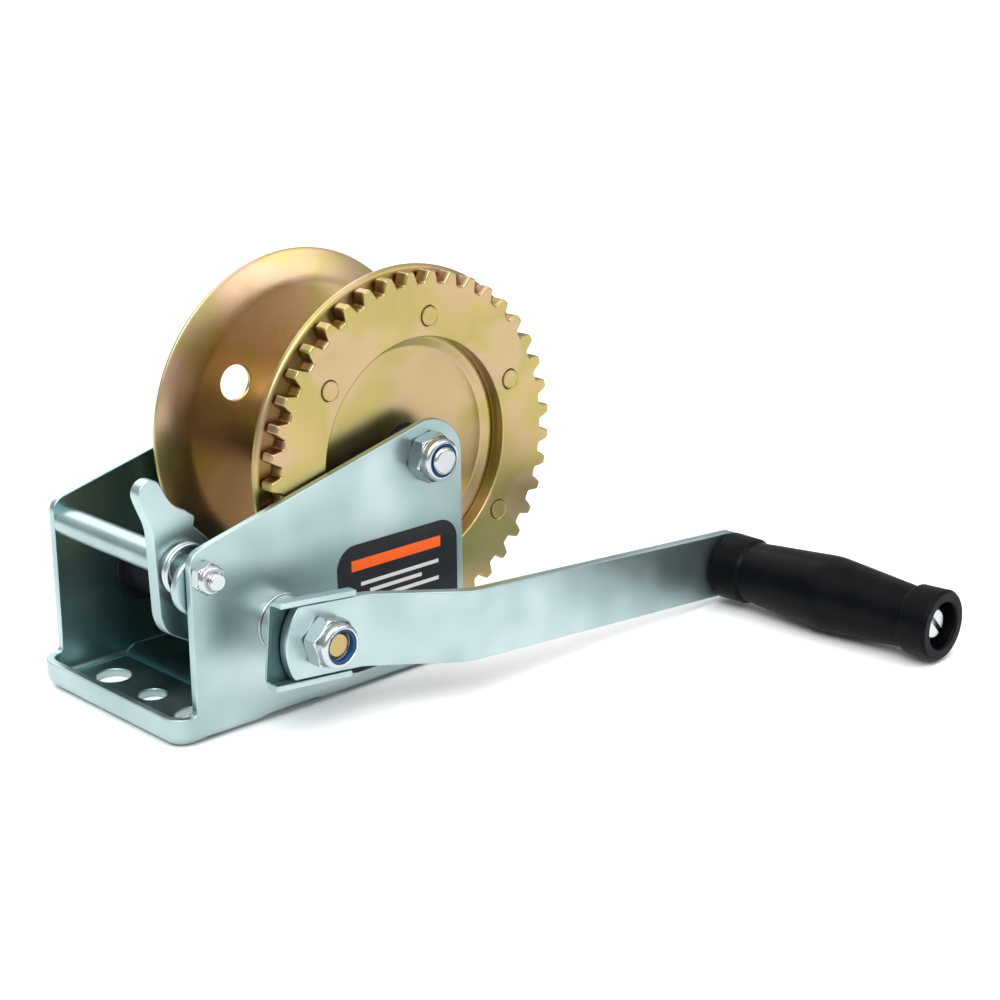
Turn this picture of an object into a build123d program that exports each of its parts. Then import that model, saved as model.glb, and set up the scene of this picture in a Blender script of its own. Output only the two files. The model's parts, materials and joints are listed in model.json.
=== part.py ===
from build123d import *
import os
from math import atan, atan2, cos, degrees, hypot, pi, radians, sin, sqrt, tan

# Boat trailer hand winch, in millimetres.
# X runs from the low front lip to the drum end, Y across the drum, Z up.
# The crank is on the -Y side. The origin is the centre of the row of base bolt holes,
# on the underside of the base.

# ---- frame ----
FRAME_WIDTH = 84.0          # outside width over the two side plates
SHEET = 3.0                 # thickness of the frame steel
LIP_FRONT_X = -19.3         # front face of the turned-up lip
LIP_HEIGHT = 10.5
PLATE_FRONT_X = -10.7       # front edge of the side plates
PLATE_REAR_X = 108.0
TOP_EDGE_Z = 69.3           # height of the slanted top edge at x = 0
TOP_EDGE_SLOPE = 0.248
FRONT_CORNER_R = 6.0
REAR_CORNER_R = 15.0
PLAN_CORNER_R = 8.0         # corner of the lip seen from above
BEND_R = 5.5                # outer radius along the bottom edges
BEAD_RISE = 2.6             # height of the stiffening bead pressed across the base
BEAD_START_X = 14.0
BEAD_END_X = 45.0
BEAD_SLOPE_LENGTH = 5.0
BASE_HOLE_SPACING = 48.0
BASE_HOLE_R = 6.25
CENTRE_HOLE_R = 5.0
NOTCH_X = -5.5              # small notch across each bottom bend
NOTCH_R = 1.6

# ---- shafts ----
DRUM_X = 91.0
DRUM_Z = 79.4
SHAFT_X = 25.4
SHAFT_Z = 34.5
TIE_X = -5.6
TIE_Z = 58.5
AXLE_BOLT_R = 5.0           # M10
AXLE_HOLE_R = 5.25
SLEEVE_R = 6.6
TIE_BOLT_R = 3.0            # M6
TIE_HOLE_R = 3.2
TIE_TUBE_R = 5.15
TIE_HEAD_R = 4.4
TIE_HEAD_HEIGHT = 1.3
SHAFT_R = 7.0
SHAFT_BUSH_R = 9.0
FAR_BOSS_Y = 14.0           # inner end of the far bush's long boss
RUNNING_GAP = 0.05          # radial clearance of a running fit
SEAT_GAP = 0.02             # radial clearance of a fixed fit

# ---- gears ----
MODULE = 3.0
GEAR_TEETH = 41
PINION_TEETH = 12
PRESSURE_ANGLE = 20.0
GEAR_TIP_R = MODULE * (GEAR_TEETH + 2) / 2
GEAR_ROOT_R = GEAR_TIP_R - 4.3          # short stub teeth
PINION_TIP_R = 19.0
PINION_ROOT_R = 14.1
GEAR_BORE_R = 41.2
GEAR_NEAR_Y = -38.0
GEAR_THICKNESS = 6.0
PINION_NEAR_Y = -38.6
PINION_WIDTH = 6.2
GEAR_TOOTH_SHARE = 1.12     # tooth width over half the pitch, the rest is backlash
PINION_TOOTH_SHARE = 0.80
TOOTH_ROUND = 0.9           # corner radius at the tips and roots of the ring's teeth
RIVET_R = 3.5
RIVET_CIRCLE_R = 48.6
RIVET_COUNT = 6
FIRST_RIVET_ANGLE = 22.5

# ---- drum ----
NEAR_FLANGE_R = 65.7
FAR_FLANGE_R = 63.3
DRUM_SHEET = 2.0
DISH_DEPTH = 1.7            # step in the middle of the near flange
FAR_FACE_Y = 27.5           # rope side of the far flange
CORE_R = 22.0
CORE_WALL = 2.0
DRUM_BUSH_R = 9.0
BUSH_NOSE_R = 8.0
BUSH_END_Y = 38.7
ROPE_HOLE_R = 6.5
ROPE_HOLE_CIRCLE_R = 35.0
ROPE_HOLE_ANGLE = 147.5

# ---- crank ----
CRANK_DROP = 5.8           # degrees that the crank hangs below the horizontal
ARM_WIDTH = 25.5
ARM_THICKNESS = 4.0
ARM_SEAT_Y = -64.2          # outer face of the arm under the crank nut
ARM_INNER_END = -15.2       # measured along the arm from the drive shaft
FIRST_BEND = 18.0
SECOND_BEND = 52.0
ARM_OFFSET_Y = -80.0        # outer face at the second bend
LEAN = 3.4                  # degrees that the outer length leans back towards the drum
GRIP_REACH = 143.5          # from the second bend to the grip screw
BRACKET_SHEET = 2.2
BRACKET_BACK_Y = -57.7
BRACKET_FRONT_Y = -64.8
BRACKET_START = -18.8
BRACKET_END = 13.0
BRACKET_GAP = 0.25
SPACER_R = 10.0
FLAT_HALF = 5.25            # half the width over the two flats of the drive shaft
THREAD_R = 5.0              # M10 end of the drive shaft
M10_FLATS = 16.0
M6_FLATS = 10.0
SHAFT_NEAR_END_Y = -72.1
SHAFT_FAR_END_Y = 47.0

# ---- grip ----
GRIP_START = 1.0            # distances along the grip screw from the arm's outer face
GRIP_END = 98.0
RECESS_DEPTH = 8.4
RECESS_R = 8.7
SHOULDER_R = 4.5
GRIP_HOLE_R = 3.1

# ---- pawl ----
PAWL_NEAR_Y = -30.5
PAWL_THICKNESS = 5.0
NOSE_NEAR_Y = -37.8
HUB_R = 5.4
BOSS_NEAR_Y = -38.6
BOSS_THICKNESS = 3.2
BOSS_R = 10.5
BOSS_X = 1.5                # centre of the boss from the tie bolt
BOSS_Z = -4.5
SPRING_R = 8.6
SPRING_WIRE_R = 0.7
SPRING_HALF_TURNS = 4
SPRING_PITCH = 1.55
SPRING_LEG = 3.4            # length of the spring's two straight ends
SPRING_START = -10.0        # direction from the tie bolt to the two ends, in degrees

HALF_WIDTH = FRAME_WIDTH / 2
INNER_Y = HALF_WIDTH - SHEET
OUT = (90, 0, 0)            # turns local +Z towards -Y, the crank side


def rod(x, z, near_y, far_y, radius):
    """Cylinder along Y between two values of y."""
    return Pos(x, (near_y + far_y) / 2, z) * Rot(*OUT) * Cylinder(radius, abs(far_y - near_y))


def block(x0, x1, y0, y1, z0, z1):
    """Box between two corners."""
    centre = Pos((x0 + x1) / 2, (y0 + y1) / 2, (z0 + z1) / 2)
    return centre * Box(abs(x1 - x0), abs(y1 - y0), abs(z1 - z0))


def turned(points, x, z):
    """Solid turned about the Y line through x, z from a closed outline of (radius, y) points."""
    outline = make_face(Polyline(*[(radius, y) for radius, y in points], close=True))
    return Pos(x, 0, z) * revolve(outline, Axis.Y)


def slab(face, near_y, far_y):
    """Solid with a flat (x, z) outline between two values of y."""
    return Pos(0, far_y, 0) * extrude(Plane.XZ * face, far_y - near_y)


# ---- frame and label ----

def plate_profile():
    """Outline of the side plates together with the low lip in front of them."""
    front_top = TOP_EDGE_Z + TOP_EDGE_SLOPE * PLATE_FRONT_X
    rear_top = TOP_EDGE_Z + TOP_EDGE_SLOPE * PLATE_REAR_X
    points = [
        (LIP_FRONT_X - 1, -1),
        (PLATE_REAR_X, -1),
        (PLATE_REAR_X, rear_top),
        (PLATE_FRONT_X, front_top),
        (PLATE_FRONT_X, LIP_HEIGHT),
        (LIP_FRONT_X - 1, LIP_HEIGHT),
    ]
    face = make_face(Polyline(*points, close=True))
    for x, z, radius in (
        (PLATE_REAR_X, rear_top, REAR_CORNER_R),
        (PLATE_FRONT_X, front_top, FRONT_CORNER_R),
        (PLATE_FRONT_X, LIP_HEIGHT, 2.0),
        (PLATE_REAR_X, -1, 5.0),
    ):
        corner = face.vertices().sort_by_distance(Vector(x, z, 0))[0]
        face = fillet(corner, radius)
    return face


def pan(x0, half_width, z0, corner_r, bottom_r):
    """Round-cornered block, with its front and bottom edges rounded, open to the rear."""
    height = 120 - z0
    rear_x = PLATE_REAR_X + 30
    body = block(x0, rear_x, -half_width, half_width, z0, z0 + height)
    front_edges = body.edges().filter_by(Axis.Z).sort_by(Axis.X)[:2]
    body = fillet(front_edges, corner_r)
    bottom = body.faces().sort_by(Axis.Z)[0]
    edges = [e for e in bottom.edges() if e.center().X < rear_x - 1]
    return fillet(edges, bottom_r)


def bead(lift):
    """Bar across the base with sloping sides, to be added on top and cut from below."""
    a = BEAD_START_X
    b = BEAD_END_X
    s = BEAD_SLOPE_LENGTH
    points = [
        (a, lift - 5),
        (a, lift),
        (a + s, lift + BEAD_RISE),
        (b - s, lift + BEAD_RISE),
        (b, lift),
        (b, lift - 5),
    ]
    return slab(make_face(Polyline(*points, close=True)), -FRAME_WIDTH, FRAME_WIDTH)


def frame():
    """Channel pressed from one sheet: base, two side plates and a turned-up front lip."""
    outer = pan(LIP_FRONT_X, HALF_WIDTH, 0, PLAN_CORNER_R, BEND_R)
    inner = pan(LIP_FRONT_X + SHEET, INNER_Y, SHEET, PLAN_CORNER_R - SHEET, BEND_R - SHEET)
    profile = slab(plate_profile(), -FRAME_WIDTH, FRAME_WIDTH)
    body = outer - (inner - bead(SHEET))
    body = (body - bead(0)) & profile
    for side in (-1, 1):
        near = side * (INNER_Y - 2)
        far = side * (HALF_WIDTH + 2)
        body -= rod(DRUM_X, DRUM_Z, near, far, AXLE_HOLE_R)
        body -= rod(SHAFT_X, SHAFT_Z, near, far, SHAFT_BUSH_R)
        body -= rod(TIE_X, TIE_Z, near, far, TIE_HOLE_R)
        body -= rod(NOTCH_X, 0, near, far, NOTCH_R)
        body -= Pos(0, side * BASE_HOLE_SPACING / 2, SHEET / 2) * Cylinder(BASE_HOLE_R, 3 * SHEET)
    body -= Pos(0, 0, SHEET / 2) * Cylinder(CENTRE_HOLE_R, 3 * SHEET)
    return body


def label():
    """Thin sticker on the crank side of the near plate."""
    return slab(Pos(77.5, 30.5) * RectangleRounded(55, 47, 8), -HALF_WIDTH - 0.3, -HALF_WIDTH)


# ---- gears ----

def involute_angle(base_r, radius):
    """Polar angle of the involute of base_r at the given radius, in radians."""
    if radius <= base_r:
        return 0.0
    roll = sqrt((radius / base_r) ** 2 - 1)
    return roll - atan(roll)


def polar(radius, angle):
    return (radius * cos(angle), radius * sin(angle))


def gear_face(teeth, tip_r, root_r, share, foot, phase):
    """Spur gear outline centred on the origin, with one tooth on the line at phase degrees.

    share is the tooth's part of half the pitch. Where the root lies inside the base circle,
    foot is the half width of the tooth at the root over its half width at the base circle.
    """
    pitch_r = MODULE * teeth / 2
    base_r = pitch_r * cos(radians(PRESSURE_ANGLE))
    half_base = pi / (2 * teeth) * share + involute_angle(base_r, pitch_r)
    step = 2 * pi / teeth
    start_r = max(base_r, root_r)
    radii = [start_r + (tip_r - start_r) * k / 4 for k in range(5)]
    half_angles = [half_base - involute_angle(base_r, r) for r in radii]
    half_root = half_angles[0] if root_r > base_r else half_base * foot
    edges = []
    for tooth in range(teeth):
        middle = radians(phase) + tooth * step
        left = [polar(r, middle - half) for r, half in zip(radii, half_angles)]
        right = [polar(r, middle + half) for r, half in zip(radii[::-1], half_angles[::-1])]
        foot_left = polar(root_r, middle - half_root)
        foot_right = polar(root_r, middle + half_root)
        next_foot = polar(root_r, middle + step - half_root)
        if root_r < base_r:
            edges.append(Line(foot_left, left[0]))
            edges.append(Line(right[-1], foot_right))
        edges.append(Spline(*left))
        edges.append(ThreePointArc(left[-1], polar(tip_r, middle), right[0]))
        edges.append(Spline(*right))
        edges.append(ThreePointArc(foot_right, polar(root_r, middle + step / 2), next_foot))
    return make_face(Wire(edges))


def gear_ring():
    """Stamped 41-tooth ring carried by the near flange."""
    face = gear_face(GEAR_TEETH, GEAR_TIP_R, GEAR_ROOT_R, GEAR_TOOTH_SHARE, 1.0, gear_phase())
    face = fillet(face.vertices(), TOOTH_ROUND)
    ring = Pos(DRUM_X, 0, DRUM_Z) * slab(face, GEAR_NEAR_Y, GEAR_NEAR_Y + GEAR_THICKNESS)
    ring -= rod(DRUM_X, DRUM_Z, GEAR_NEAR_Y - 1, GEAR_NEAR_Y + GEAR_THICKNESS + 1, GEAR_BORE_R)
    for x, z in rivet_centres():
        ring -= rod(x, z, GEAR_NEAR_Y - 1, GEAR_NEAR_Y + GEAR_THICKNESS + 1, RIVET_R)
    return ring


def mesh_direction():
    """Direction from the drum axis to the drive shaft, in degrees in the XZ plane."""
    return degrees(atan2(SHAFT_Z - DRUM_Z, SHAFT_X - DRUM_X))


def gear_phase():
    """Puts a tooth of the ring on the line between the two axes."""
    return mesh_direction()


def pinion():
    """12-tooth pinion pressed on the drive shaft, with a gap facing the ring's tooth."""
    phase = mesh_direction() + 180 + 180 / PINION_TEETH
    face = gear_face(PINION_TEETH, PINION_TIP_R, PINION_ROOT_R, PINION_TOOTH_SHARE, 0.75, phase)
    wheel = Pos(SHAFT_X, 0, SHAFT_Z) * slab(face, PINION_NEAR_Y, PINION_NEAR_Y + PINION_WIDTH)
    far_y = PINION_NEAR_Y + PINION_WIDTH
    return wheel - rod(SHAFT_X, SHAFT_Z, PINION_NEAR_Y - 1, far_y + 1, SHAFT_R)


def rivet_centres():
    """Centres of the rivets in the XZ plane."""
    step = 360 / RIVET_COUNT
    angles = [radians(FIRST_RIVET_ANGLE + step * k) for k in range(RIVET_COUNT)]
    r = RIVET_CIRCLE_R
    return [(DRUM_X + r * cos(a), DRUM_Z + r * sin(a)) for a in angles]


def gear_rivets():
    """Six flush rivets that hold the ring on the near flange."""
    pins = []
    for x, z in rivet_centres():
        pin = rod(x, z, GEAR_NEAR_Y - 0.4, near_face() + DRUM_SHEET, RIVET_R)
        pins.append(chamfer(pin.edges().sort_by(Axis.Y)[0], 0.3))
    return Compound(children=pins)


# ---- drum ----

def near_face():
    """y of the near flange's outer face, where the ring lies on it."""
    return GEAR_NEAR_Y + GEAR_THICKNESS


def drum_near_flange():
    """Flange behind the ring, with a shallow dish in the middle and a rim that bends inwards."""
    y = near_face()
    t = DRUM_SHEET
    dish = y + DISH_DEPTH
    points = [
        (DRUM_BUSH_R, dish),
        (37.0, dish),
        (40.0, y),
        (60.0, y),
        (NEAR_FLANGE_R - 1.0, y + 1.6),
        (NEAR_FLANGE_R, y + 2.4),
        (NEAR_FLANGE_R, y + 4.0),
        (NEAR_FLANGE_R - 1.0, y + 4.0),
        (60.0, y + t),
        (41.0, y + t),
        (38.0, dish + t),
        (DRUM_BUSH_R, dish + t),
    ]
    plate = turned(points, DRUM_X, DRUM_Z)
    for x, z in rivet_centres():
        plate -= rod(x, z, y - 1, y + t + 1, RIVET_R)
    return plate


def drum_far_flange():
    """Flange with a flared rim and a hole for the rope's end."""
    y = FAR_FACE_Y
    t = DRUM_SHEET
    inner = [
        Line((DRUM_BUSH_R, y), (49.0, y)),
        Spline((49.0, y), (56.0, y + 1.4), (FAR_FLANGE_R, y + 4.4), tangents=((1, 0), (1, 0.55))),
        Line((FAR_FLANGE_R, y + 4.4), (FAR_FLANGE_R - 0.9, y + 4.4 + t)),
        Spline((FAR_FLANGE_R - 0.9, y + 4.4 + t), (55.2, y + 1.4 + t), (48.5, y + t),
               tangents=((-1, -0.55), (-1, 0))),
        Line((48.5, y + t), (DRUM_BUSH_R, y + t)),
        Line((DRUM_BUSH_R, y + t), (DRUM_BUSH_R, y)),
    ]
    plate = Pos(DRUM_X, 0, DRUM_Z) * revolve(make_face(Wire(inner)), Axis.Y)
    a = radians(ROPE_HOLE_ANGLE)
    hole_x = DRUM_X + ROPE_HOLE_CIRCLE_R * cos(a)
    hole_z = DRUM_Z + ROPE_HOLE_CIRCLE_R * sin(a)
    return plate - rod(hole_x, hole_z, y - 2, y + 2 + t, ROPE_HOLE_R)


def drum_core():
    """Tube that the rope winds on."""
    near = near_face() + DISH_DEPTH + DRUM_SHEET
    tube = rod(DRUM_X, DRUM_Z, near, FAR_FACE_Y, CORE_R)
    return tube - rod(DRUM_X, DRUM_Z, near - 1, FAR_FACE_Y + 1, CORE_R - CORE_WALL)


def drum_bush(side):
    """Nylon bush in one flange: a body in the flange and a nose that keeps the drum centred."""
    if side < 0:
        face = near_face() + DISH_DEPTH
        body = 10.0
        bush = rod(DRUM_X, DRUM_Z, face, face + body, DRUM_BUSH_R)
        bush += rod(DRUM_X, DRUM_Z, -BUSH_END_Y, face, BUSH_NOSE_R)
    else:
        face = FAR_FACE_Y + DRUM_SHEET
        bush = rod(DRUM_X, DRUM_Z, face - 10.0, face, DRUM_BUSH_R)
        bush += rod(DRUM_X, DRUM_Z, face, BUSH_END_Y, BUSH_NOSE_R)
    return bush - rod(DRUM_X, DRUM_Z, -HALF_WIDTH, HALF_WIDTH, SLEEVE_R + RUNNING_GAP)


def drum_axle_sleeve():
    """Spacer tube between the side plates that the drum turns on."""
    tube = rod(DRUM_X, DRUM_Z, -INNER_Y, INNER_Y, SLEEVE_R)
    return tube - rod(DRUM_X, DRUM_Z, -HALF_WIDTH, HALF_WIDTH, AXLE_BOLT_R + 0.2)


# ---- fasteners ----

def hexagon(across_flats, height, turn=0.0):
    """Hexagonal bar on local z = 0 with its corners chamfered at both ends."""
    bar = extrude(Rot(0, 0, turn) * RegularPolygon(across_flats / 2, 6, major_radius=False), height)
    corner_r = across_flats / sqrt(3)
    face_r = 0.49 * across_flats
    rise = 0.6 * (corner_r - face_r)
    points = [
        (0, 0),
        (face_r, 0),
        (corner_r, rise),
        (corner_r, height - rise),
        (face_r, height),
        (0, height),
    ]
    envelope = revolve(Plane.XZ * make_face(Polyline(*points, close=True)), Axis.Z)
    return bar & envelope


def lock_nut(bolt_r, across_flats, height, turn=0.0):
    """Self-locking nut standing on local z = 0, and the nylon ring held in its collar."""
    hex_height = 0.66 * height
    collar_r = 0.48 * across_flats
    ring_r = 0.375 * across_flats
    ring_low = 0.72 * height
    stand = (Align.CENTER, Align.CENTER, Align.MIN)
    collar = Cylinder(collar_r, height, align=stand)
    collar = fillet(collar.edges().sort_by(Axis.Z)[-1], 0.1 * across_flats)
    nut = hexagon(across_flats, hex_height, turn) + collar
    nut -= Cylinder(bolt_r + SEAT_GAP, 3 * height)
    nut -= Pos(0, 0, ring_low) * Cylinder(ring_r, height, align=stand)
    ring = Pos(0, 0, ring_low) * Cylinder(ring_r, 0.96 * height - ring_low, align=stand)
    ring -= Cylinder(bolt_r + SEAT_GAP, 3 * height)
    return nut, ring


def hex_bolt(bolt_r, across_flats, head_height, length, dome):
    """Bolt along local Z with its head below z = 0 and a domed end."""
    head = mirror(hexagon(across_flats, head_height), Plane.XY)
    shank = Cylinder(bolt_r, length, align=(Align.CENTER, Align.CENTER, Align.MIN))
    shank = fillet(shank.edges().sort_by(Axis.Z)[-1], dome)
    return head + shank


def on_near_side(x, y, z):
    """Location whose local Z points out of the near plate, towards -Y."""
    return Pos(x, y, z) * Rot(*OUT)


def drum_axle_bolt():
    """M10 bolt through both side plates and the axle sleeve."""
    bolt = hex_bolt(AXLE_BOLT_R, M10_FLATS, 6.4, FRAME_WIDTH + 11.0, 1.4)
    return on_near_side(DRUM_X, HALF_WIDTH, DRUM_Z) * bolt


def drum_axle_nut():
    """M10 lock nut on the near plate, and its nylon ring."""
    nut, ring = lock_nut(AXLE_BOLT_R, M10_FLATS, 9.6, 12)
    place = on_near_side(DRUM_X, -HALF_WIDTH, DRUM_Z)
    return place * nut, place * ring


def tie_bolt():
    """M6 bolt with a low round head across the front of the frame, which also carries the pawl."""
    stand = (Align.CENTER, Align.CENTER, Align.MIN)
    shank = Cylinder(TIE_BOLT_R, FRAME_WIDTH + 8.5, align=stand)
    shank = fillet(shank.edges().sort_by(Axis.Z)[-1], 0.6)
    head = Pos(0, 0, -TIE_HEAD_HEIGHT) * Cylinder(TIE_HEAD_R, TIE_HEAD_HEIGHT, align=stand)
    head = fillet(head.edges().sort_by(Axis.Z)[0], 0.7)
    return on_near_side(TIE_X, HALF_WIDTH, TIE_Z) * (head + shank)


def tie_nut():
    """M6 lock nut on the near plate, and its nylon ring."""
    nut, ring = lock_nut(TIE_BOLT_R, M6_FLATS, 6, 20)
    place = on_near_side(TIE_X, -HALF_WIDTH, TIE_Z)
    return place * nut, place * ring


def crank_nut():
    """M10 lock nut that holds the arm on the drive shaft, and its nylon ring."""
    nut, ring = lock_nut(THREAD_R, M10_FLATS, 10.0, -15)
    place = on_near_side(SHAFT_X, ARM_SEAT_Y, SHAFT_Z)
    return place * nut, place * ring


# ---- drive shaft ----

def double_flat(near_y, far_y, radius, half):
    """Round bar along Y with two flats, turned with the crank, for the shaft and its holes."""
    bar = rod(0, 0, near_y, far_y, radius) & block(-20, 20, near_y, far_y, -half, half)
    return crank_frame() * bar


def shaft_hole(near_y, far_y):
    """Hole with two flats that fits the drive shaft."""
    return double_flat(near_y, far_y, SHAFT_R + SEAT_GAP, FLAT_HALF + SEAT_GAP)


def drive_shaft():
    """Shaft with flats for the bracket and arm, a threaded near end and a clip groove."""
    shaft = rod(SHAFT_X, SHAFT_Z, BRACKET_BACK_Y, SHAFT_FAR_END_Y, SHAFT_R)
    shaft = chamfer(shaft.edges().sort_by(Axis.Y)[-1], 0.8)
    shaft += double_flat(ARM_SEAT_Y, BRACKET_BACK_Y, SHAFT_R, FLAT_HALF)
    end = rod(SHAFT_X, SHAFT_Z, SHAFT_NEAR_END_Y, ARM_SEAT_Y, THREAD_R)
    shaft += chamfer(end.edges().sort_by(Axis.Y)[0], 1.1)
    groove = rod(SHAFT_X, SHAFT_Z, 44.7, 45.9, SHAFT_R + 1)
    groove -= rod(SHAFT_X, SHAFT_Z, 44, 47, SHAFT_R - 0.6)
    return shaft - groove


def shaft_bush(side):
    """Flanged bush in one side plate: the near flange is outside, the far one inside."""
    if side < 0:
        bush = rod(SHAFT_X, SHAFT_Z, -HALF_WIDTH, -INNER_Y, SHAFT_BUSH_R)
        bush += rod(SHAFT_X, SHAFT_Z, -HALF_WIDTH - 1.0, -HALF_WIDTH, SPACER_R + 0.4)
    else:
        bush = rod(SHAFT_X, SHAFT_Z, INNER_Y, HALF_WIDTH + 1.0, SHAFT_BUSH_R)
        bush += rod(SHAFT_X, SHAFT_Z, INNER_Y - 1.8, INNER_Y, 12.5)
        bush += rod(SHAFT_X, SHAFT_Z, FAR_BOSS_Y, INNER_Y, SHAFT_BUSH_R)
    return bush - rod(SHAFT_X, SHAFT_Z, -60, 60, SHAFT_R + RUNNING_GAP)


def shaft_washer():
    """Thrust washer between the far bush and the clip."""
    washer = rod(SHAFT_X, SHAFT_Z, HALF_WIDTH + 1.1, HALF_WIDTH + 2.6, 12.0)
    return washer - rod(SHAFT_X, SHAFT_Z, 40, 50, SHAFT_R + RUNNING_GAP)


def shaft_clip():
    """Snap ring in the groove at the far end of the drive shaft."""
    clip = rod(SHAFT_X, SHAFT_Z, 44.8, 45.8, 10.0) - rod(SHAFT_X, SHAFT_Z, 44, 47, SHAFT_R - 0.55)
    clip -= block(SHAFT_X - 2.5, SHAFT_X + 2.5, 44, 47, SHAFT_Z, SHAFT_Z + 14)
    for side in (-1, 1):
        ear = rod(SHAFT_X + side * 3.9, SHAFT_Z + 10.2, 44.8, 45.8, 2.0)
        clip += ear - rod(SHAFT_X + side * 3.9, SHAFT_Z + 10.2, 44, 47, 0.8)
    return clip


# ---- crank ----

def crank_frame():
    """Location on the drive shaft's axis with local X along the arm."""
    return Pos(SHAFT_X, 0, SHAFT_Z) * Rot(0, CRANK_DROP, 0)


def crank_spacer():
    """Sleeve on the drive shaft between the near bush and the bracket."""
    sleeve = rod(SHAFT_X, SHAFT_Z, BRACKET_BACK_Y, -HALF_WIDTH - 1.1, SPACER_R)
    sleeve = chamfer(sleeve.edges().filter_by(GeomType.CIRCLE), 0.5)
    return sleeve - rod(SHAFT_X, SHAFT_Z, -60, -40, SHAFT_R + SEAT_GAP)


def crank_bracket():
    """Small channel on the shaft's flats that holds the arm by its edges."""
    half = ARM_WIDTH / 2 + BRACKET_GAP
    high = half + BRACKET_SHEET
    outer = block(BRACKET_START, BRACKET_END, BRACKET_FRONT_Y, BRACKET_BACK_Y, -high, high)
    back_edges = outer.edges().filter_by(Axis.X).sort_by(Axis.Y)[-2:]
    outer = fillet(back_edges, 4.0)
    floor_y = BRACKET_BACK_Y - BRACKET_SHEET
    inner = block(BRACKET_START - 1, BRACKET_END + 1, BRACKET_FRONT_Y - 1, floor_y, -half, half)
    return crank_frame() * (outer - inner) - shaft_hole(BRACKET_FRONT_Y, BRACKET_BACK_Y + 1)


def arm_outline():
    """The arm seen from above, in its own frame: two bends and three flat lengths."""
    run = SECOND_BEND - FIRST_BEND
    offset = ARM_OFFSET_Y - ARM_SEAT_Y
    middle_angle = atan2(offset, run)
    lean = radians(LEAN)
    reach = GRIP_REACH + ARM_WIDTH / 2 + 2
    t = ARM_THICKNESS
    end = (SECOND_BEND + reach * cos(lean), ARM_OFFSET_Y + reach * sin(lean))
    first_shift = t * tan(-middle_angle / 2)
    second_shift = t / cos((lean - middle_angle) / 2)
    second_normal = pi / 2 + (lean + middle_angle) / 2
    second_inner = (
        SECOND_BEND + second_shift * cos(second_normal),
        ARM_OFFSET_Y + second_shift * sin(second_normal),
    )
    points = [
        (ARM_INNER_END - 1, ARM_SEAT_Y),
        (FIRST_BEND, ARM_SEAT_Y),
        (SECOND_BEND, ARM_OFFSET_Y),
        end,
        (end[0] - t * sin(lean), end[1] + t * cos(lean)),
        second_inner,
        (FIRST_BEND + first_shift, ARM_SEAT_Y + t),
        (ARM_INNER_END - 1, ARM_SEAT_Y + t),
    ]
    face = make_face(Polyline(*points, close=True))
    for point, radius in ((points[1], 6.0), (points[6], 10.0), (points[2], 14.0), (points[5], 10.0)):
        corner = face.vertices().sort_by_distance(Vector(point[0], point[1], 0))[0]
        face = fillet(corner, radius)
    return face


def arm_side_outline():
    """The arm seen from the crank side: a flat curved inner end and a half-round outer end."""
    h = ARM_WIDTH / 2
    grip_x = grip_point()[0]
    edges = [
        ThreePointArc((ARM_INNER_END + 4.5, h), (ARM_INNER_END, 0), (ARM_INNER_END + 4.5, -h)),
        Line((ARM_INNER_END + 4.5, -h), (grip_x, -h)),
        ThreePointArc((grip_x, -h), (grip_x + h, 0), (grip_x, h)),
        Line((grip_x, h), (ARM_INNER_END + 4.5, h)),
    ]
    return make_face(Wire(edges))


def grip_point():
    """Where the grip screw leaves the arm's outer face, in the crank's own frame."""
    lean = radians(LEAN)
    return (SECOND_BEND + GRIP_REACH * cos(lean), ARM_OFFSET_Y + GRIP_REACH * sin(lean))


def grip_frame():
    """Location on the grip screw, at the arm's outer face, with local Z along the screw."""
    x, y = grip_point()
    return crank_frame() * Pos(x, y, 0) * Rot(0, 0, LEAN) * Rot(*OUT)


def crank_arm():
    """Flat bar with two bends, a hole with two flats at one end and the grip's hole at the other."""
    bar = extrude(arm_outline(), ARM_WIDTH, both=True)
    side = slab(arm_side_outline(), -120, 0)
    arm = crank_frame() * (bar & side)
    arm -= shaft_hole(ARM_SEAT_Y - 1, ARM_SEAT_Y + ARM_THICKNESS + 1)
    return arm - grip_frame() * Cylinder(GRIP_HOLE_R, 20)


# ---- grip, in the frame of its screw ----

def grip():
    """Turned plastic handle with a collar at each end and a swelling between them."""
    bore = SHOULDER_R + RUNNING_GAP
    floor = GRIP_END - RECESS_DEPTH
    outline = [
        Line((bore, GRIP_START), (12.4, GRIP_START)),
        Line((12.4, GRIP_START), (12.9, GRIP_START + 0.8)),
        Line((12.9, GRIP_START + 0.8), (12.7, 12.6)),
        Line((12.7, 12.6), (11.6, 14.4)),
        Line((11.6, 14.4), (14.3, 45.5)),
        Spline((14.3, 45.5), (14.55, 50.0), (14.25, 54.5), tangents=((0.087, 1), (-0.1, 1))),
        Line((14.25, 54.5), (11.4, 85.0)),
        Line((11.4, 85.0), (12.9, 86.6)),
        Line((12.9, 86.6), (13.3, GRIP_END - 1.0)),
        Line((13.3, GRIP_END - 1.0), (12.6, GRIP_END)),
        Line((12.6, GRIP_END), (RECESS_R + 0.6, GRIP_END)),
        Line((RECESS_R + 0.6, GRIP_END), (RECESS_R, GRIP_END - 0.8)),
        Line((RECESS_R, GRIP_END - 0.8), (RECESS_R, floor)),
        Line((RECESS_R, floor), (bore, floor)),
        Line((bore, floor), (bore, GRIP_START)),
    ]
    body = revolve(Plane.XZ * make_face(Wire(outline)), Axis.Z)
    return grip_frame() * body


def grip_washer():
    """Washer under the screw's head, at the bottom of the grip's recess."""
    low = GRIP_END - RECESS_DEPTH + 0.2
    ring = Pos(0, 0, low) * Cylinder(7.6, 1.2, align=(Align.CENTER, Align.CENTER, Align.MIN))
    return grip_frame() * (ring - Cylinder(SHOULDER_R + SEAT_GAP, 300))


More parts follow.
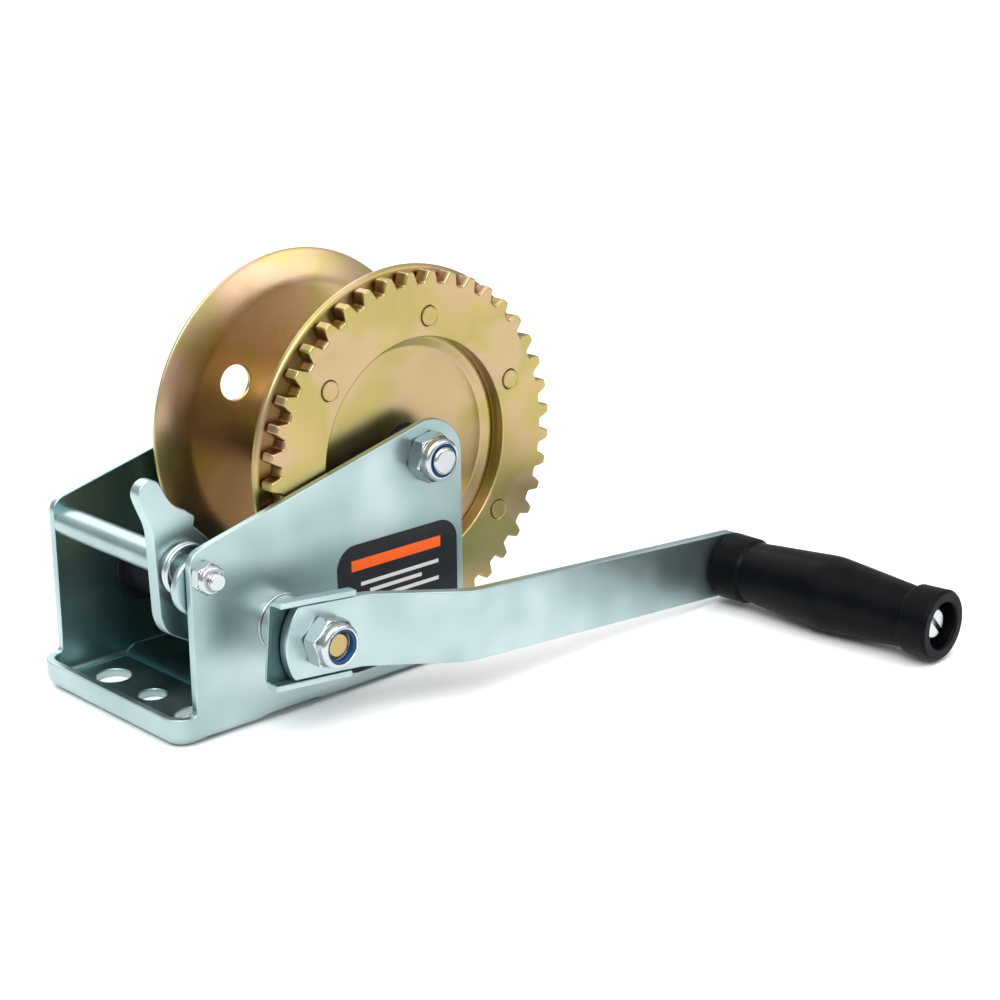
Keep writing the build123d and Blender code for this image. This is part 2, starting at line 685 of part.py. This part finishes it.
def grip_screw():
    """Slotted shoulder screw that the grip turns on."""
    low = GRIP_END - RECESS_DEPTH + 1.4
    shoulder = Cylinder(SHOULDER_R, low, align=(Align.CENTER, Align.CENTER, Align.MIN))
    head = Pos(0, 0, low) * Cylinder(6.2, 3.8, align=(Align.CENTER, Align.CENTER, Align.MIN))
    head = fillet(head.edges().sort_by(Axis.Z)[-1], 1.6)
    slot = Pos(0, 0, low + 3.8) * Rot(0, 0, -40) * Box(14, 1.8, 2 * 1.7)
    thread = Pos(0, 0, -11.0) * Cylinder(3.0, 11.0, align=(Align.CENTER, Align.CENTER, Align.MIN))
    return grip_frame() * (shoulder + (head - slot) + thread)


def grip_nut():
    """M6 nut on the inner face of the arm."""
    nut = hexagon(M6_FLATS, 5.0) - Cylinder(3.0 + SEAT_GAP, 20)
    return grip_frame() * Pos(0, 0, -ARM_THICKNESS) * mirror(nut, Plane.XY)


# ---- pawl ----

def pawl_plate_outline():
    """Pawl seen from the crank side, about its pivot: finger tab on top, shoulder and body."""
    edges = [
        Line((-9.8, -13.4), (-10.8, 12.0)),
        Spline((-10.8, 12.0), (-12.0, 18.0), (-15.0, 25.6), tangents=((0, 1), (-0.3, 1))),
        ThreePointArc((-15.0, 25.6), (-13.0, 31.6), (-7.2, 30.6)),
        Spline((-7.2, 30.6), (-3.2, 23.6), (2.3, 19.5), tangents=((0.55, -1), (1, -0.4))),
        Line((2.3, 19.5), (6.0, 16.6)),
        Line((6.0, 16.6), (5.4, 13.2)),
        Line((5.4, 13.2), (9.0, 9.6)),
        ThreePointArc((9.0, 9.6), (13.6, 1.0), (10.5, -10.0)),
        Line((10.5, -10.0), (5.4, -28.6)),
        Line((5.4, -28.6), (-5.4, -22.2)),
        Spline((-5.4, -22.2), (-8.6, -18.4), (-9.8, -13.4), tangents=((-1, 0.6), (-0.05, 1))),
    ]
    return make_face(Wire(edges))


def pawl_nose_outline():
    """Two blunt noses that face the pinion, about the pivot."""
    points = [
        (11.8, 4.5),
        (16.4, 2.5),
        (16.8, -1.0),
        (13.6, -5.0),
        (11.4, -12.0),
        (8.2, -24.5),
        (4.4, -23.5),
        (7.2, -14.5),
        (9.9, -8.0),
        (11.8, -1.0),
    ]
    return make_face(Polyline(*points, close=True))


def pawl():
    """Pawl on the tie bolt: plate, hub, round boss beside the near plate and two noses."""
    far_y = PAWL_NEAR_Y + PAWL_THICKNESS
    body = slab(pawl_plate_outline(), PAWL_NEAR_Y, far_y)
    body += slab(pawl_nose_outline(), NOSE_NEAR_Y, far_y)
    body += rod(0, 0, BOSS_NEAR_Y, PAWL_NEAR_Y, HUB_R)
    boss = rod(BOSS_X, BOSS_Z, BOSS_NEAR_Y, BOSS_NEAR_Y + BOSS_THICKNESS, BOSS_R)
    body += fillet(boss.edges().filter_by(GeomType.CIRCLE), 1.2)
    body = Pos(TIE_X, 0, TIE_Z) * body
    return body - rod(TIE_X, TIE_Z, -60, 0, TIE_BOLT_R + RUNNING_GAP)


def tie_spacer_tube():
    """Tube on the tie bolt from the far plate to the pawl."""
    near = PAWL_NEAR_Y + PAWL_THICKNESS + 0.2
    tube = rod(TIE_X, TIE_Z, near, INNER_Y, TIE_TUBE_R)
    return tube - rod(TIE_X, TIE_Z, near - 1, INNER_Y + 1, TIE_BOLT_R + 0.2)


def pawl_spring():
    """Torsion spring round the pawl's hub, with both straight ends towards the pinion."""
    rise = SPRING_PITCH / 2
    edges = [Line((SPRING_R, -SPRING_LEG, 0), (SPRING_R, 0, 0))]
    for half in range(SPRING_HALF_TURNS):
        side = 1 if half % 2 == 0 else -1
        start = (side * SPRING_R, 0, half * rise)
        middle = (0, side * hypot(SPRING_R, rise / 2), (half + 0.5) * rise)
        end = (-side * SPRING_R, 0, (half + 1) * rise)
        edges.append(ThreePointArc(start, middle, end))
    edges.append(Line(end, (end[0], SPRING_LEG, end[2])))
    section = Plane(origin=edges[0] @ 0, z_dir=(0, 1, 0)) * Circle(SPRING_WIRE_R)
    spring = sweep(section, path=Wire(edges))
    return Pos(TIE_X, PAWL_NEAR_Y - 0.9, TIE_Z) * Rot(*OUT) * Rot(0, 0, SPRING_START) * spring


def parts():
    """Every sub-part by the name of its node."""
    axle_nut, axle_ring = drum_axle_nut()
    front_nut, front_ring = tie_nut()
    handle_nut, handle_ring = crank_nut()
    return {
        "frame": frame(),
        "label": label(),
        "drum_near_flange": drum_near_flange(),
        "drum_far_flange": drum_far_flange(),
        "drum_core": drum_core(),
        "gear_ring": gear_ring(),
        "gear_rivets": gear_rivets(),
        "drum_near_bush": drum_bush(-1),
        "drum_far_bush": drum_bush(1),
        "drum_axle_sleeve": drum_axle_sleeve(),
        "drum_axle_bolt": drum_axle_bolt(),
        "drum_axle_nut": axle_nut,
        "drum_axle_nut_ring": axle_ring,
        "drive_shaft": drive_shaft(),
        "pinion": pinion(),
        "shaft_near_bush": shaft_bush(-1),
        "shaft_far_bush": shaft_bush(1),
        "shaft_washer": shaft_washer(),
        "shaft_clip": shaft_clip(),
        "crank_spacer": crank_spacer(),
        "crank_bracket": crank_bracket(),
        "crank_arm": crank_arm(),
        "crank_nut": handle_nut,
        "crank_nut_ring": handle_ring,
        "grip": grip(),
        "grip_washer": grip_washer(),
        "grip_screw": grip_screw(),
        "grip_nut": grip_nut(),
        "tie_bolt": tie_bolt(),
        "tie_nut": front_nut,
        "tie_nut_ring": front_ring,
        "tie_spacer_tube": tie_spacer_tube(),
        "pawl": pawl(),
        "pawl_spring": pawl_spring(),
    }


def main():
    """Writes one STEP file per sub-part."""
    os.makedirs("parts", exist_ok=True)
    for node, shape in parts().items():
        export_step(shape, f"parts/{node}.step")


main()
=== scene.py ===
import json
import math

import bpy
from mathutils import Matrix, Vector


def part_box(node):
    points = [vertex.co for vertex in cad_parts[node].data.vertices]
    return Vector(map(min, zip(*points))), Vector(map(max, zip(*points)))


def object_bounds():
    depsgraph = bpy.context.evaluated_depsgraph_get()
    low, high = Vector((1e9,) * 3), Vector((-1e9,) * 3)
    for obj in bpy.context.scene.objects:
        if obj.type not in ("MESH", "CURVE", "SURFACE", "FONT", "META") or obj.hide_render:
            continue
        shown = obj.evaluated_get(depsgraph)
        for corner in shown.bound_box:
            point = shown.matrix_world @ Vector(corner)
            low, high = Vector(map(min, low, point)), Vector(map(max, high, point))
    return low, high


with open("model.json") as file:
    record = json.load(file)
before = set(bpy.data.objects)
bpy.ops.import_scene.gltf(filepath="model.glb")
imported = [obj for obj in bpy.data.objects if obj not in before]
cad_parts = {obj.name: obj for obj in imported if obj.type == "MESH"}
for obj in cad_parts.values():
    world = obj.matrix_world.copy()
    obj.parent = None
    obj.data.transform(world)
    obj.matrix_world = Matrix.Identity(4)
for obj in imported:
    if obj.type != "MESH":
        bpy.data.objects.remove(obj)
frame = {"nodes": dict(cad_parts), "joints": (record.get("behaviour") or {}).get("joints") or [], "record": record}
CAD_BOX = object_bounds()
NODES = frame["nodes"]
JOINTS = {joint["name"]: Vector(joint["pos_m"]) for joint in frame["joints"]}
MM = 0.001      # the scene is in metres; lengths multiplied by this are in millimetres


# ---- camera, floor and light ----

CAMERA_AZIMUTH = math.radians(46.69)     # direction of view, from +X towards +Y
CAMERA_DOWN = math.radians(17.73)        # below the horizon
CAMERA_ROLL = math.radians(-0.37)
CAMERA_PLACE = Vector((-0.3848, -0.5846, 0.2933))
CAMERA_LENS = 77.28
SENSOR_WIDTH = 36
CLIP_NEAR = 0.01
CLIP_FAR = 50

AREA_LIGHTS = (     # name, place, target, width and height, power
    ("key", (-0.9, -0.7, 1.3), (0.05, 0, 0.05), (0.9, 0.9), 14),
    ("fill", (0.9, -1.2, 0.8), (0.1, 0, 0.05), (1.2, 0.8), 6),
    ("back", (0.3, 1.4, 1.1), (0.05, 0, 0.05), (1.4, 0.7), 8),
)
SUN_POWER = 1.5
SUN_SPREAD = math.radians(70)
SUN_TURN = (math.radians(15), math.radians(-15), 0)

FLOOR_HALF = 8.0
FLOOR_COLOUR = (0.93, 0.93, 0.93, 1)
FLOOR_ROUGHNESS = 0.7

SKY_STOPS = [       # height of the direction of view, and the colour there
    (0.0, (0.24, 0.26, 0.26)),
    (0.12, (0.34, 0.36, 0.37)),
    (0.45, (0.72, 0.74, 0.76)),
    (1.0, (1.0, 1.0, 1.0)),
]


def add_camera():
    """Camera at the given place and direction, with a little roll."""
    level = Vector((math.sin(CAMERA_AZIMUTH), -math.cos(CAMERA_AZIMUTH), 0))
    ahead = Vector((math.cos(CAMERA_AZIMUTH), math.sin(CAMERA_AZIMUTH), 0)) * math.cos(CAMERA_DOWN)
    ahead.z = -math.sin(CAMERA_DOWN)
    upright = level.cross(ahead)
    right = level * math.cos(CAMERA_ROLL) + upright * math.sin(CAMERA_ROLL)
    up = upright * math.cos(CAMERA_ROLL) - level * math.sin(CAMERA_ROLL)
    data = bpy.data.cameras.new("camera")
    data.lens = CAMERA_LENS
    data.sensor_width = SENSOR_WIDTH
    data.clip_start = CLIP_NEAR
    data.clip_end = CLIP_FAR
    camera = bpy.data.objects.new("camera", data)
    turn = Matrix((right, up, -ahead)).transposed().to_4x4()
    camera.matrix_world = Matrix.Translation(CAMERA_PLACE) @ turn
    bpy.context.scene.collection.objects.link(camera)
    bpy.context.scene.camera = camera


def add_area(name, place, target, size, power):
    """Soft rectangular light at a place, pointing at a target."""
    data = bpy.data.lights.new(name, "AREA")
    data.shape = "RECTANGLE"
    data.size, data.size_y = size
    data.energy = power
    light = bpy.data.objects.new(name, data)
    light.location = place
    light.rotation_euler = (Vector(target) - Vector(place)).to_track_quat("-Z", "Y").to_euler()
    bpy.context.scene.collection.objects.link(light)


def add_sun():
    """Wide soft light from above that keeps the whole floor evenly bright."""
    data = bpy.data.lights.new("overhead", "SUN")
    data.energy = SUN_POWER
    data.angle = SUN_SPREAD
    light = bpy.data.objects.new("overhead", data)
    light.rotation_euler = SUN_TURN
    bpy.context.scene.collection.objects.link(light)


def add_floor():
    """Pale floor under the object."""
    mesh = bpy.data.meshes.new("floor")
    z = CAD_BOX[0][2]
    corners = [(x * FLOOR_HALF, y * FLOOR_HALF, z) for x, y in ((-1, -1), (1, -1), (1, 1), (-1, 1))]
    mesh.from_pydata(corners, [], [(0, 1, 2, 3)])
    floor = bpy.data.objects.new("floor", mesh)
    bpy.context.scene.collection.objects.link(floor)
    mat, _, shader = new_material("floor_white")
    shader.inputs["Base Color"].default_value = FLOOR_COLOUR
    shader.inputs["Roughness"].default_value = FLOOR_ROUGHNESS
    mesh.materials.append(mat)


def add_world():
    """Studio surroundings: bright overhead, dim along the horizon."""
    world = bpy.data.worlds.new("studio")
    bpy.context.scene.world = world
    world.use_nodes = True
    tree = world.node_tree
    back = tree.nodes["Background"]
    place = tree.nodes.new("ShaderNodeTexCoord")
    axes = tree.nodes.new("ShaderNodeSeparateXYZ")
    tree.links.new(place.outputs["Generated"], axes.inputs["Vector"])
    tree.links.new(ramp(tree, axes.outputs["Z"], SKY_STOPS), back.inputs["Color"])
    back.inputs["Strength"].default_value = 1.0


# ---- node building ----

NOISE_LOW = 0.15        # the part of a noise's range that is spread over a span
NOISE_HIGH = 0.85
MIX_FIRST = 6           # a mix node's two colour inputs and its colour output
MIX_SECOND = 7
MIX_RESULT = 2


def new_material(name):
    """Empty Principled material, its node tree and its shader."""
    mat = bpy.data.materials.new(name)
    mat.use_nodes = True
    tree = mat.node_tree
    return mat, tree, tree.nodes["Principled BSDF"]


def noise(tree, scale, detail):
    """Noise over the object's own coordinates in metres, as a factor output."""
    place = tree.nodes.new("ShaderNodeTexCoord")
    node = tree.nodes.new("ShaderNodeTexNoise")
    node.inputs["Scale"].default_value = scale
    node.inputs["Detail"].default_value = detail
    tree.links.new(place.outputs["Object"], node.inputs["Vector"])
    return node.outputs["Fac"]


def ramp(tree, factor, stops):
    """Colour ramp driven by a factor, from (position, colour) stops."""
    node = tree.nodes.new("ShaderNodeValToRGB")
    elements = node.color_ramp.elements
    while len(elements) < len(stops):
        elements.new(0.5)
    for element, (position, colour) in zip(elements, stops):
        element.position = position
        element.color = (*colour, 1)
    tree.links.new(factor, node.inputs["Fac"])
    return node.outputs["Color"]


def span(tree, factor, low, high, start=NOISE_LOW, end=NOISE_HIGH):
    """Number that eases from low to high as the factor goes from start to end."""
    node = tree.nodes.new("ShaderNodeMapRange")
    node.interpolation_type = "SMOOTHSTEP"
    for key, value in (("From Min", start), ("From Max", end), ("To Min", low), ("To Max", high)):
        node.inputs[key].default_value = value
    tree.links.new(factor, node.inputs["Value"])
    return node.outputs["Result"]


def calculate(tree, operation, first, second=0.0):
    """Output of one arithmetic node; second is a number or another output."""
    node = tree.nodes.new("ShaderNodeMath")
    node.operation = operation
    tree.links.new(first, node.inputs[0])
    if isinstance(second, float):
        node.inputs[1].default_value = second
    else:
        tree.links.new(second, node.inputs[1])
    return node.outputs["Value"]


def product(tree, first, *others):
    """Product of several number outputs."""
    for other in others:
        first = calculate(tree, "MULTIPLY", first, other)
    return first


def place_axes(tree):
    """The object's own x, y and z in metres, as named outputs."""
    place = tree.nodes.new("ShaderNodeTexCoord")
    axes = tree.nodes.new("ShaderNodeSeparateXYZ")
    tree.links.new(place.outputs["Object"], axes.inputs["Vector"])
    return axes.outputs


def bump(tree, shader, height, strength, distance):
    """Fine relief on the shader's normal."""
    node = tree.nodes.new("ShaderNodeBump")
    node.inputs["Strength"].default_value = strength
    node.inputs["Distance"].default_value = distance
    tree.links.new(height, node.inputs["Height"])
    tree.links.new(node.outputs["Normal"], shader.inputs["Normal"])


def paint_shade_inside(mat, inside, stops):
    """Paints shade into a plated material's colour, by a colour ramp of a number that is 1 deep inside."""
    tree = mat.node_tree
    shader = tree.nodes["Principled BSDF"]
    mix = tree.nodes.new("ShaderNodeMix")
    mix.data_type = "RGBA"
    mix.blend_type = "MULTIPLY"
    mix.inputs["Factor"].default_value = 1.0
    tree.links.new(shader.inputs["Base Color"].links[0].from_socket, mix.inputs[MIX_FIRST])
    tree.links.new(ramp(tree, inside, stops), mix.inputs[MIX_SECOND])
    tree.links.new(mix.outputs[MIX_RESULT], shader.inputs["Base Color"])


# ---- steel ----

CLOUD_SCALE = 26        # size of the plating's colour clouds, per metre
GOLD_SCALE = 24
CLOUD_DETAIL = 2
GLOSS_SCALE = 60        # size of the patches of gloss
GLOSS_DETAIL = 4

ZINC_ROUGHNESS = (0.30, 0.42)
BOLT_ROUGHNESS = (0.18, 0.28)
GOLD_ROUGHNESS = (0.26, 0.38)
SPRING_ROUGHNESS = (0.2, 0.3)

ZINC_CLOUD = [(0.34, (0.32, 0.425, 0.43)), (0.5, (0.40, 0.51, 0.515)), (0.66, (0.49, 0.59, 0.595))]
BOLT_CLOUD = [(0.35, (0.42, 0.46, 0.47)), (0.65, (0.56, 0.59, 0.60))]
SPRING_CLOUD = [(0.3, (0.46, 0.50, 0.51)), (0.7, (0.60, 0.63, 0.64))]
GOLD_CLOUD = [
    (0.30, (0.45, 0.335, 0.175)),
    (0.39, (0.47, 0.345, 0.19)),
    (0.45, (0.40, 0.33, 0.115)),
    (0.52, (0.44, 0.345, 0.135)),
    (0.60, (0.49, 0.34, 0.20)),
    (0.72, (0.42, 0.34, 0.12)),
]
# A brighter, pinker copy of the yellow zinc for the far flange: painted light standing in for its lit face.
FAR_GOLD_LIT_CLOUD = [
    (0.32, (0.52, 0.37, 0.22)),
    (0.44, (0.60, 0.40, 0.26)),
    (0.54, (0.50, 0.40, 0.16)),
    (0.66, (0.62, 0.42, 0.28)),
]

THREAD_PITCH = 1.0 * MM
THREAD_START = -46.5 * MM       # the tie bolt is threaded where y is below this
THREAD_DEPTH = 0.15 * MM
THREAD_STRENGTH = 0.9

# The frame's channel: where along each coordinate the light changes.
CHANNEL_LIP = (-16.6 * MM, -16.2 * MM)          # x at the back face of the front lip
CHANNEL_DEPTH = (-12 * MM, 20 * MM)             # x from the mouth inwards
CHANNEL_MOUTH_DIM = 0.35                        # share of the dimness at the mouth
CHANNEL_WALL = (39.05 * MM, 39.8 * MM)          # distance from the middle, going into the plate's sheet
CHANNEL_BASE = (2.7 * MM, 3.0 * MM)             # z up to the base's upper face
CHANNEL_DIM = [
    (0.0, (1, 1, 1)),
    (CHANNEL_MOUTH_DIM, (0.80, 0.98, 1.0)),
    (1.0, (0.20, 0.35, 0.38)),
]

# The crank bracket's own channel, whose floor is behind the arm, darkened with painted shade.
SLOT_HALF = 13.05 * MM                          # half the height between the bracket's two lips
SLOT_MOUTH = (-64.3 * MM, -62.5 * MM)           # y from near the lips' edge inwards
SLOT_FLOOR = -59.0 * MM                         # y within the floor's sheet, whose back is left without the painted shade
# painted shade: colour factors from the slot's mouth to deep inside it
SLOT_PAINTED_SHADE = [(0.0, (1, 1, 1)), (1.0, (0.14, 0.20, 0.21))]

# Painted shade in the gaps between the ring's teeth, from the tips and from the ring's near face.
GAP_ROOT = (5.2 * MM, 4.2 * MM)                 # depth below the tips at which the gap begins
GAP_TIP = 0.6 * MM                              # distance to either side of the tips where it ends
GAP_DEPTH = (0.7 * MM, 2.0 * MM)                # depth behind the near face
GAP_PAINTED_SHADE = [(0.0, (1, 1, 1)), (1.0, (0.50, 0.40, 0.34))]


def plated_steel(name, stops, roughness, scale=CLOUD_SCALE):
    """Plated steel with cloudy colour and patchy gloss between two roughnesses."""
    mat, tree, shader = new_material(name)
    shader.inputs["Metallic"].default_value = 1.0
    cloud = ramp(tree, noise(tree, scale, CLOUD_DETAIL), stops)
    tree.links.new(cloud, shader.inputs["Base Color"])
    gloss = span(tree, noise(tree, GLOSS_SCALE, GLOSS_DETAIL), *roughness)
    tree.links.new(gloss, shader.inputs["Roughness"])
    return mat


def threaded_steel():
    """The tie bolt's zinc, with thread ridges at its near end."""
    mat = plated_steel("zinc_thread", BOLT_CLOUD, BOLT_ROUGHNESS)
    tree = mat.node_tree
    along = place_axes(tree)["Y"]
    wave = calculate(tree, "SINE", calculate(tree, "MULTIPLY", along, 2 * math.pi / THREAD_PITCH))
    ridges = product(tree, wave, calculate(tree, "LESS_THAN", along, THREAD_START))
    bump(tree, tree.nodes["Principled BSDF"], ridges, THREAD_STRENGTH, THREAD_DEPTH)
    return mat


def frame_steel():
    """The frame's zinc sheet, dimmer on the inside of the channel, where less light gets in."""
    mat = plated_steel("zinc_channel", ZINC_CLOUD, ZINC_ROUGHNESS)
    tree = mat.node_tree
    axes = place_axes(tree)
    inside = product(
        tree,
        span(tree, axes["X"], CHANNEL_MOUTH_DIM, 1.0, *CHANNEL_DEPTH),
        span(tree, calculate(tree, "ABSOLUTE", axes["Y"]), 1, 0, *CHANNEL_WALL),
        span(tree, axes["Z"], 0, 1, *CHANNEL_BASE),
        span(tree, axes["X"], 0, 1, *CHANNEL_LIP),
    )
    paint_shade_inside(mat, inside, CHANNEL_DIM)
    return mat


def bracket_steel():
    """The crank bracket's zinc sheet, with painted shade in the narrow channel round the arm."""
    mat = plated_steel("zinc_bracket", ZINC_CLOUD, ZINC_ROUGHNESS)
    tree = mat.node_tree
    axes = place_axes(tree)
    shaft, grip = JOINTS["crank_spin"], JOINTS["grip_spin"]
    drop = (shaft.z - grip.z) / (grip.x - shaft.x)      # slope at which the crank hangs
    height = calculate(tree, "ADD", axes["Z"], calculate(tree, "MULTIPLY", axes["X"], drop))
    off_middle = calculate(tree, "SUBTRACT", height, shaft.z + shaft.x * drop)
    inside = product(
        tree,
        calculate(tree, "LESS_THAN", calculate(tree, "ABSOLUTE", off_middle), SLOT_HALF),
        span(tree, axes["Y"], 0, 1, *SLOT_MOUTH),
        calculate(tree, "LESS_THAN", axes["Y"], SLOT_FLOOR),
    )
    paint_shade_inside(mat, inside, SLOT_PAINTED_SHADE)
    return mat


def gear_steel():
    """Yellow zinc of the ring and its flange, with painted shade in the gaps between the teeth."""
    mat = plated_steel("zinc_yellow_gear", GOLD_CLOUD, GOLD_ROUGHNESS, GOLD_SCALE)
    tree = mat.node_tree
    low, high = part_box("gear_ring")
    tip = (high.x - low.x) / 2
    axes = place_axes(tree)
    across = calculate(tree, "SUBTRACT", axes["X"], (low.x + high.x) / 2)
    upward = calculate(tree, "SUBTRACT", axes["Z"], (low.z + high.z) / 2)
    squares = [calculate(tree, "MULTIPLY", side, side) for side in (across, upward)]
    radius = calculate(tree, "SQRT", calculate(tree, "ADD", *squares))
    inside = product(
        tree,
        span(tree, radius, 0, 1, *(tip - depth for depth in GAP_ROOT)),
        span(tree, radius, 1, 0, tip - GAP_TIP, tip + GAP_TIP),
        span(tree, axes["Y"], 0, 1, *(low.y + depth for depth in GAP_DEPTH)),
    )
    paint_shade_inside(mat, inside, GAP_PAINTED_SHADE)
    return mat


# ---- plastic and label ----

MOTTLE_SCALE = 60       # size of the faint clouds in plastic and film, per metre
MOTTLE_DETAIL = 3
GRAIN_SCALE = 900       # the moulded surface's fine grain
GRAIN_DETAIL = 2
GRAIN_STRENGTH = 0.3
GRAIN_DEPTH = 0.03 * MM
SHEEN_SCALE = 140
SHEEN_DETAIL = 4
SHEEN_BELOW = 0.05      # how far the roughness goes below and above its middle
SHEEN_ABOVE = 0.07
PALER = 1.6             # the mottling's paler colour, as a factor and a lift
PALER_LIFT = 0.002

FILM_CLOUD = [(0.3, (0.012, 0.013, 0.015)), (0.8, (0.02, 0.021, 0.024))]
FILM_SHINE = 0.2
FILM_SHEEN = (90, 3)
FILM_ROUGHNESS = (0.28, 0.36)
PRINT_ORANGE = (0.85, 0.12, 0.02)
PRINT_PALE = (0.62, 0.62, 0.62)
LABEL_BARS = (          # x from and to, z from and to, in millimetres, and the print's colour
    (56, 97, 44.5, 48.5, PRINT_ORANGE),
    (60, 96, 38.6, 40.0, PRINT_PALE),
    (64, 88, 35.4, 36.8, PRINT_PALE),
    (70, 96, 32.2, 33.6, PRINT_PALE),
)


def moulded_plastic(name, colour, roughness, shine=0.5):
    """Moulded plastic with slight mottling and fine grain."""
    mat, tree, shader = new_material(name)
    pale = tuple(min(1.0, part * PALER + PALER_LIFT) for part in colour)
    cloud = ramp(tree, noise(tree, MOTTLE_SCALE, MOTTLE_DETAIL), [(0.3, colour), (0.8, pale)])
    tree.links.new(cloud, shader.inputs["Base Color"])
    shader.inputs["Specular IOR Level"].default_value = shine
    patches = noise(tree, SHEEN_SCALE, SHEEN_DETAIL)
    sheen = span(tree, patches, roughness - SHEEN_BELOW, roughness + SHEEN_ABOVE)
    tree.links.new(sheen, shader.inputs["Roughness"])
    bump(tree, shader, noise(tree, GRAIN_SCALE, GRAIN_DETAIL), GRAIN_STRENGTH, GRAIN_DEPTH)
    return mat


def bar_mask(tree, axes, x0, x1, z0, z1):
    """1 inside a rectangle of the object's x and z in millimetres, 0 outside."""
    return product(
        tree,
        calculate(tree, "GREATER_THAN", axes["X"], x0 * MM),
        calculate(tree, "LESS_THAN", axes["X"], x1 * MM),
        calculate(tree, "GREATER_THAN", axes["Z"], z0 * MM),
        calculate(tree, "LESS_THAN", axes["Z"], z1 * MM),
    )


def label_film(name):
    """Dark gloss film with a plain orange bar and three pale bars printed on it."""
    mat, tree, shader = new_material(name)
    axes = place_axes(tree)
    colour = ramp(tree, noise(tree, MOTTLE_SCALE, MOTTLE_DETAIL), FILM_CLOUD)
    for *bar, print_colour in LABEL_BARS:
        mix = tree.nodes.new("ShaderNodeMix")
        mix.data_type = "RGBA"
        tree.links.new(bar_mask(tree, axes, *bar), mix.inputs["Factor"])
        tree.links.new(colour, mix.inputs[MIX_FIRST])
        mix.inputs[MIX_SECOND].default_value = (*print_colour, 1)
        colour = mix.outputs[MIX_RESULT]
    tree.links.new(colour, shader.inputs["Base Color"])
    shader.inputs["Specular IOR Level"].default_value = FILM_SHINE
    tree.links.new(span(tree, noise(tree, *FILM_SHEEN), *FILM_ROUGHNESS), shader.inputs["Roughness"])
    return mat


# ---- which node has which look ----

BRIGHT_ZINC = plated_steel("zinc_sheet", ZINC_CLOUD, ZINC_ROUGHNESS)
GEAR_ZINC = gear_steel()

SLOT_LOOKS = {
    "bright_zinc": BRIGHT_ZINC,
    "white_zinc": plated_steel("zinc_bright", BOLT_CLOUD, BOLT_ROUGHNESS),
    "yellow_zinc": plated_steel("zinc_yellow", GOLD_CLOUD, GOLD_ROUGHNESS, GOLD_SCALE),
    "blue_nylon": moulded_plastic("nylon_blue", (0.001, 0.040, 0.115), 0.35, 0.3),
    "pale_nylon": moulded_plastic("nylon_pale", (0.45, 0.47, 0.48), 0.4),
    "black_plastic": moulded_plastic("plastic_black", (0.0012, 0.0018, 0.0026), 0.34, 0.06),
    "dark_sticker": label_film("film_dark"),
    "bush_nylon": moulded_plastic("nylon_dark", (0.006, 0.006, 0.007), 0.45, 0.25),
    "spring_steel": plated_steel("steel_spring", SPRING_CLOUD, SPRING_ROUGHNESS),
}
NODE_LOOKS = {
    "frame": frame_steel(),
    "crank_bracket": bracket_steel(),
    # the far flange's brighter copy of the yellow zinc is painted light
    "drum_far_flange": plated_steel("zinc_yellow_far_lit", FAR_GOLD_LIT_CLOUD, GOLD_ROUGHNESS, GOLD_SCALE),
    "drum_near_flange": GEAR_ZINC,
    "gear_ring": GEAR_ZINC,
    "tie_spacer_tube": BRIGHT_ZINC,
    "tie_bolt": threaded_steel(),
}


# ---- finish of the CAD nodes ----

DEFAULT_BEVEL = (0.25, 2)       # width in millimetres, and segments
BEVELS = {
    "frame": (0.45, 2),
    "gear_ring": (0.7, 3),
    "pinion": (0.5, 2),
    "crank_arm": (0.6, 2),
    "crank_bracket": (0.5, 2),
    "pawl": (0.6, 3),
    "drum_near_flange": (0.4, 2),
    "drum_far_flange": (0.5, 2),
    "drum_axle_bolt": (0.2, 2),
    "label": (0.05, 1),
}
DEFAULT_SHARP_ANGLE = 32        # degrees between faces above which an edge is rounded
SHARP_ANGLES = {"drum_near_flange": 15}
FLAT_ANGLE = 0.5                # degrees between faces below which they are merged
WELD_DISTANCE = 1e-6


def round_edges(obj, width, segments):
    """Joins the split vertices, merges flat faces, rounds the sharp edges and evens the shading."""
    weld = obj.modifiers.new("join", "WELD")
    weld.merge_threshold = WELD_DISTANCE
    flat = obj.modifiers.new("flat", "DECIMATE")
    flat.decimate_type = "DISSOLVE"
    flat.angle_limit = math.radians(FLAT_ANGLE)
    bevel = obj.modifiers.new("round", "BEVEL")
    bevel.width = width * MM
    bevel.segments = segments
    bevel.limit_method = "ANGLE"
    bevel.angle_limit = math.radians(SHARP_ANGLES.get(obj.name, DEFAULT_SHARP_ANGLE))
    bevel.use_clamp_overlap = False
    even = obj.modifiers.new("even", "WEIGHTED_NORMAL")
    even.keep_sharp = False
    for face in obj.data.polygons:
        face.use_smooth = True


def dress_nodes():
    """Gives every CAD node its material and rounded edges."""
    slots = {part["node"]: part["material_slot"] for part in frame["record"]["subparts"]}
    for name, obj in NODES.items():
        obj.data.materials.clear()
        obj.data.materials.append(NODE_LOOKS.get(name, SLOT_LOOKS[slots[name]]))
        round_edges(obj, *BEVELS.get(name, DEFAULT_BEVEL))


bpy.context.scene.view_settings.view_transform = "Standard"
add_camera()
add_world()
add_floor()
for light_facts in AREA_LIGHTS:
    add_area(*light_facts)
add_sun()
dress_nodes()
